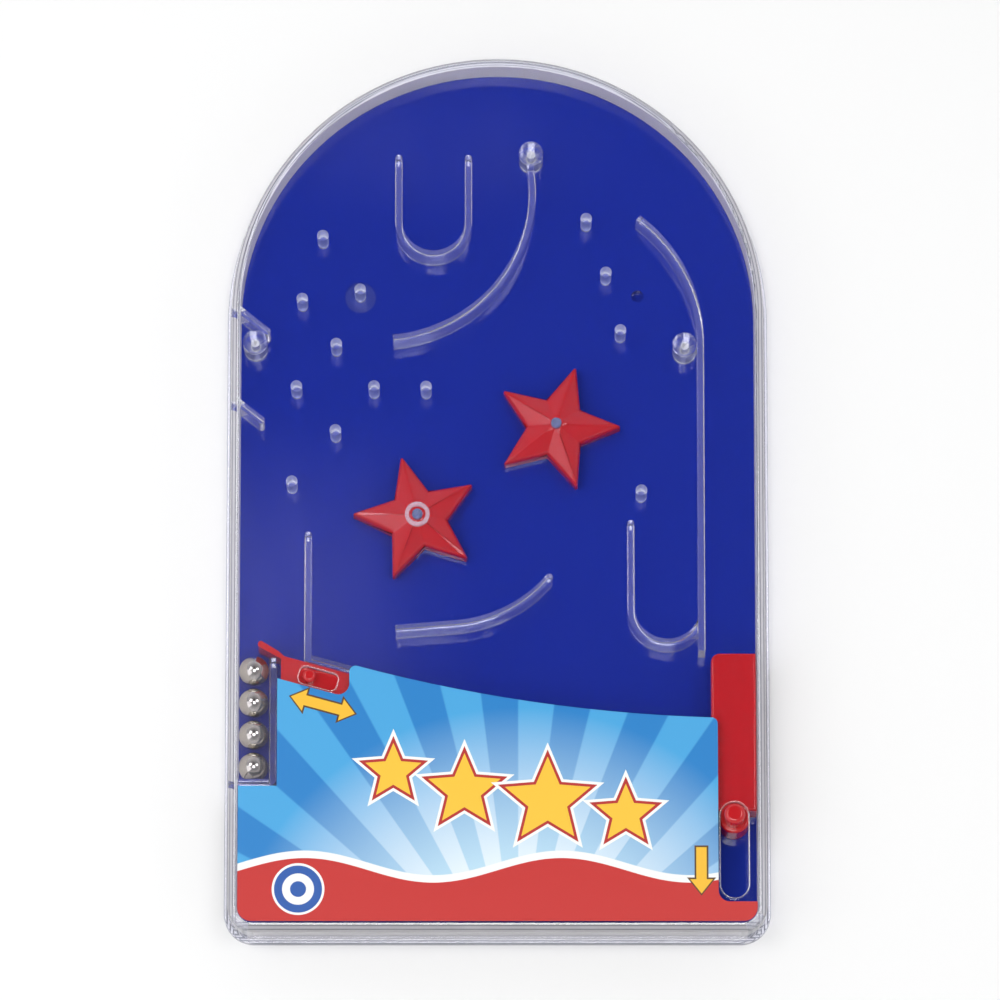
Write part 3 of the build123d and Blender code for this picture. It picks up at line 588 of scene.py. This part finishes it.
def polished_star(node, body):
    """Star with its ridges, valleys and rims rounded, as a polished mould leaves them. A corner's normal
    is the mean of its faces' normals, weighted by their areas, so that flat facets stay flat."""
    mesh = merged_copy(node)
    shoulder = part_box(node)[0].z + star_side_height
    centre = star_axis(body)
    points = np.empty(len(mesh.vertices) * 3)
    mesh.vertices.foreach_get("co", points)
    spokes = (points.reshape(-1, 3)[:, :2] - centre) @ (1, 1j)
    tips = spokes[np.abs(spokes) > tip_share * np.abs(spokes).max()]
    turn = np.angle((tips ** star_points).sum()) / star_points
    edit = bmesh.new()
    edit.from_mesh(mesh)
    bmesh.ops.dissolve_limit(edit, angle_limit=flat_angle, verts=edit.verts, edges=edit.edges)
    valleys = []
    for edge in edit.edges:
        lower, upper = sorted(corner.co.z for corner in edge.verts)
        if edge.calc_length() < shortest_ridge or lower < shoulder - level_slack:
            continue
        if upper >= shoulder + level_slack and edge.is_manifold and not edge.is_convex:
            valleys.append(edge)
    # Rounded valleys take the paler red: a painted highlight
    bmesh.ops.bevel(edit, geom=valleys, offset=valley_rounding, segments=valley_steps,
                    profile=round_profile, affect="EDGES", clamp_overlap=False,
                    material=star_finishes.index(star_valley_painted_highlight))
    rims = [edge for edge in edit.edges
            if all(abs(corner.co.z - shoulder) < level_slack for corner in edge.verts)]
    bmesh.ops.bevel(edit, geom=rims, offset=rim_rounding, segments=rim_steps,
                    profile=round_profile, affect="EDGES", clamp_overlap=False)
    # Upright sides take the pale pink: painted light from the front
    for face in edit.faces:
        if face.calc_center_median().z < shoulder - rim_rounding and abs(face.normal.z) < upright_facing:
            face.material_index = star_finishes.index(star_side)
    hub = Vector((*centre, 0))
    for arm in range(star_points):
        angle = turn + arm * 2 * np.pi / star_points
        outward = Vector((np.cos(angle), np.sin(angle), 0))
        across = Vector((-np.sin(angle), np.cos(angle), 0))
        for cut in ridge_cuts:
            roof = [face for face in edit.faces
                    if face.normal.z > roof_facing and face.calc_center_median().z > shoulder
                    and (face.calc_center_median() - hub).dot(outward) > ridge_start[0]]
            edges = [edge for face in roof for edge in face.edges]
            corners = [corner for face in roof for corner in face.verts]
            parts = list(dict.fromkeys([*roof, *edges, *corners]))
            bmesh.ops.bisect_plane(edit, geom=parts, plane_co=hub + across * (cut * ridge_half_width),
                                   plane_no=across)
    edit.to_mesh(mesh)
    edit.free()
    rounded_ridges(mesh, centre, turn, shoulder)
    mesh.set_sharp_from_angle(angle=star_crease_angle)
    mesh.materials.clear()
    for finish in star_finishes:
        mesh.materials.append(finish)
    star = bpy.data.objects.new(node + "_polished", mesh)
    bpy.context.scene.collection.objects.link(star)
    shading = star.modifiers.new("shading", "WEIGHTED_NORMAL")
    shading.mode = "FACE_AREA"
    shading.weight = shading_weight
    shading.keep_sharp = True
    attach(star, body)
    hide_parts(node)


polished_star("star_left", "left_star")
polished_star("star_right", "right_star")


def coil_mesh(name, low, high, turns, wire, around=12, steps_per_turn=28):
    """Tube wound about an axis along Y: at turn t the wire's centre is
    (cx + R cos 2πt, y0 + pitch t, cz + R sin 2πt), and a ring of points of the wire's radius stands
    square to its direction there. Flat caps close both ends."""
    centre = (low + high) / 2
    radius = (high.x - low.x) / 2 - wire / 2
    start = high.y - wire / 2
    stop = low.y + wire / 2
    turn = np.linspace(0, turns, turns * steps_per_turn + 1)[:, None]
    angle = 2 * np.pi * turn
    outward = np.hstack([np.cos(angle), 0 * angle, np.sin(angle)])
    climb = start + (stop - start) * turn / turns
    spine = outward * radius + np.hstack([0 * angle + centre.x, climb, 0 * angle + centre.z])
    forward = np.hstack([-np.sin(angle) * radius * 2 * np.pi, 0 * angle + (stop - start) / turns,
                         np.cos(angle) * radius * 2 * np.pi])
    forward /= np.linalg.norm(forward, axis=1, keepdims=True)
    beside = np.cross(forward, outward)
    ring = np.linspace(0, 2 * np.pi, around, endpoint=False)
    tube = (spine[:, None] + wire / 2 * (np.cos(ring)[None, :, None] * outward[:, None]
                                         + np.sin(ring)[None, :, None] * beside[:, None]))
    rows = len(spine)
    row, column = np.meshgrid(np.arange(rows - 1), np.arange(around), indexing="ij")
    following = (column + 1) % around
    quads = np.stack([row * around + column, (row + 1) * around + column,
                      (row + 1) * around + following, row * around + following], -1).reshape(-1, 4)
    caps = [list(range(around)), list(range((rows - 1) * around, rows * around))[::-1]]
    mesh = bpy.data.meshes.new(name)
    mesh.from_pydata(tube.reshape(-1, 3).tolist(), [], quads.tolist() + caps)
    edit = bmesh.new()
    edit.from_mesh(mesh)
    bmesh.ops.recalc_face_normals(edit, faces=edit.faces)
    edit.to_mesh(mesh)
    edit.free()
    mesh.polygons.foreach_set("use_smooth", np.ones(len(mesh.polygons), dtype=bool))
    mesh.set_sharp_from_angle(angle=crease_angle)
    return mesh


# Spring of the shooter: its turns and wire, and the box that it fills
spring_turns = 12
spring_wire = 0.8 * MM
spring_low, spring_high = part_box("shooter_spring")
spring_mesh = coil_mesh("wound_spring", spring_low, spring_high, spring_turns, spring_wire)
spring_mesh.materials.append(spring_wire_steel)
spring = bpy.data.objects.new("wound_spring", spring_mesh)
bpy.context.scene.collection.objects.link(spring)
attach(spring, "case")
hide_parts("shooter_spring")
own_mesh(spring)

# Floor under the object: half its side, and how far it lies below the base
floor_half_side = 6000 * MM
floor_drop = 0.3 * MM


def studio_floor():
    """Pale matt floor under the object."""
    mesh = bpy.data.meshes.new("studio_floor")
    plan = np.array([(-1, -1), (1, -1), (1, 1), (-1, 1)]) * floor_half_side
    corners = np.column_stack([plan, np.full(4, -floor_drop)])
    mesh.from_pydata(corners.tolist(), [], [(0, 1, 2, 3)])
    mesh.materials.append(surface_material(
        "pale_floor", Base_Color=rgb("#f4f4f4"), Roughness=0.9, Specular_IOR_Level=0.0))
    made = bpy.data.objects.new("studio_floor", mesh)
    bpy.context.scene.collection.objects.link(made)


studio_floor()


def softbox(name, place, aim, size, power):
    """Square soft lamp at a place, turned to its aim, in metres and watts."""
    lamp = bpy.data.lights.new(name, "AREA")
    lamp.shape = "SQUARE"
    lamp.size = size
    lamp.energy = power
    made = bpy.data.objects.new(name, lamp)
    made.location = place
    made.rotation_mode = "QUATERNION"
    made.rotation_quaternion = (Vector(aim) - Vector(place)).to_track_quat("-Z", "Y")
    made.visible_camera = False
    bpy.context.scene.collection.objects.link(made)


# Lamps, all turned to the middle of the case: place and side in metres, and power in watts
softboxes = {
    "key_softbox": ((-0.75, -0.36, 0.84), 0.8, 2.8),
    "left_softbox": ((-0.55, 0.22, 1.20), 0.40, 2.5),
    "right_softbox": ((0.52, 0.12, 1.20), 0.36, 2.4),
    "top_softbox": ((0, -0.22, 1.20), 0.34, 2.9),
}
for lamp_name, (lamp_place, lamp_size, lamp_power) in softboxes.items():
    softbox(lamp_name, lamp_place, (0, 0, 0), lamp_size, lamp_power)

# Card over the case: its height, the half sides of what it covers in the cover's reflection,
# its least strength, and the strength, place and grain of its two patches of haze
card_height = 1100 * MM
card_half_width = 95 * MM
card_half_length = 150 * MM
card_level = 0.04
left_haze = 0.30
top_haze = 0.08
left_haze_edge = (0.0, -70 * MM)
left_haze_top = (30 * MM, -30 * MM)
top_haze_fade = (1.0, 0.2)
haze_streak = (16 * MM, 70 * MM)
streak_range = (0.3, 0.7)
streak_strength = (0.65, 1.3)
top_haze_middle = (-18 * MM, 104 * MM, 0.0)
top_haze_reach = (60 * MM, 26 * MM)


def reflection_card():
    """Dim card that the cover mirrors as a soft pale haze on its left and near its arch. With the camera
    over c, a point p of the cover mirrors the card at p + (p - c) k, where k is the card's height above
    the cover, divided by the camera's."""
    top_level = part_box("clear_cover")[1].z
    reach = (card_height - top_level) / (camera_height - top_level)
    stand = np.array([aim_right, -camera_foot])
    corners = np.array([(-1, -1), (-1, 1), (1, 1), (1, -1)]) * (card_half_width, card_half_length)
    corners = np.column_stack([corners + (corners - stand) * reach, np.full(4, card_height)])
    mesh = bpy.data.meshes.new("reflection_card")
    mesh.from_pydata(corners.tolist(), [], [(0, 1, 2, 3)])
    made, tree, out = new_material("lit_card")
    place = add(tree, "ShaderNodeTexCoord").outputs["Object"]
    seen = add(tree, "ShaderNodeVectorMath", {
        0: place, 1: (1 / (1 + reach), 1 / (1 + reach), 0.0), 2: (*(stand * reach / (1 + reach)), 0.0)},
        operation="MULTIPLY_ADD").outputs[0]
    plan = add(tree, "ShaderNodeSeparateXYZ", {0: seen})
    leftward = add(tree, "ShaderNodeMapRange", {
        0: plan.outputs[0], 1: left_haze_edge[0], 2: left_haze_edge[1]},
        interpolation_type="SMOOTHSTEP").outputs[0]
    downward = add(tree, "ShaderNodeMapRange", {
        0: plan.outputs[1], 1: left_haze_top[0], 2: left_haze_top[1], 4: left_haze},
        interpolation_type="SMOOTHSTEP").outputs[0]
    left = add(tree, "ShaderNodeMath", {0: leftward, 1: downward}, operation="MULTIPLY").outputs[0]
    off = add(tree, "ShaderNodeVectorMath", {0: seen, 1: top_haze_middle}, operation="SUBTRACT").outputs[0]
    spread = add(tree, "ShaderNodeVectorMath", {
        0: off, 1: (1 / top_haze_reach[0], 1 / top_haze_reach[1], 0.0)}, operation="MULTIPLY").outputs[0]
    far = add(tree, "ShaderNodeVectorMath", {0: spread}, operation="LENGTH").outputs["Value"]
    top = add(tree, "ShaderNodeMapRange", {
        0: far, 1: top_haze_fade[0], 2: top_haze_fade[1], 4: top_haze},
        interpolation_type="SMOOTHSTEP").outputs[0]
    both = add(tree, "ShaderNodeMath", {0: left, 1: top}, operation="ADD").outputs[0]
    grain = add(tree, "ShaderNodeVectorMath", {
        0: seen, 1: (1 / haze_streak[0], 1 / haze_streak[1], 0.0)}, operation="MULTIPLY").outputs[0]
    streaks = add(tree, "ShaderNodeTexNoise", {"Vector": grain, "Scale": 1.0, "Detail": 1.0})
    waver = add(tree, "ShaderNodeMapRange", {
        0: streaks.outputs[0], 1: streak_range[0], 2: streak_range[1],
        3: streak_strength[0], 4: streak_strength[1]}).outputs[0]
    level = add(tree, "ShaderNodeMath", {0: both, 1: waver, 2: card_level},
                operation="MULTIPLY_ADD").outputs[0]
    glow = add(tree, "ShaderNodeEmission", {"Color": rgb("#fff6f4"), "Strength": level})
    tree.links.new(glow.outputs[0], out.inputs["Surface"])
    mesh.materials.append(made)
    card = bpy.data.objects.new("reflection_card", mesh)
    card.visible_camera = False
    card.visible_shadow = False
    bpy.context.scene.collection.objects.link(card)


reflection_card()

# Surround: the heights between which it dims, as shares of straight up, and its strength overhead
dimming_heights = (0.35, 0.85)
overhead_strength = 0.3


def studio_world():
    """Even studio surround: white from the horizon up to the lamps, and grey overhead."""
    world = bpy.data.worlds.new("studio")
    bpy.context.scene.world = world
    world.use_nodes = True
    tree = world.node_tree
    tree.nodes.clear()
    way = add(tree, "ShaderNodeTexCoord").outputs["Generated"]
    parts = add(tree, "ShaderNodeSeparateXYZ", {0: way})
    level = add(tree, "ShaderNodeMapRange", {
        0: parts.outputs[2], 1: dimming_heights[0], 2: dimming_heights[1],
        3: 1.0, 4: overhead_strength}).outputs[0]
    light = add(tree, "ShaderNodeBackground", {0: rgb("#ffffff"), 1: level})
    out = add(tree, "ShaderNodeOutputWorld")
    tree.links.new(light.outputs[0], out.inputs["Surface"])


studio_world()


def photo_camera():
    """Long lens over the lower end of the case, with its axis a little below the middle of the image."""
    lens = bpy.data.cameras.new("photo_camera")
    made = bpy.data.objects.new("photo_camera", lens)
    place = Vector((aim_right, -camera_foot, camera_height))
    aim = Vector((aim_right, aim_up - camera_rise * image_span, floor_level))
    made.location = place
    made.rotation_mode = "QUATERNION"
    made.rotation_quaternion = (aim - place).to_track_quat("-Z", "Y")
    lens.sensor_width = sensor_width
    lens.lens = sensor_width * (aim - place).length / image_span
    lens.shift_y = camera_rise
    lens.clip_end = farthest_seen
    bpy.context.scene.collection.objects.link(made)
    bpy.context.scene.camera = made


photo_camera()
bpy.context.scene.view_settings.view_transform = "Standard"
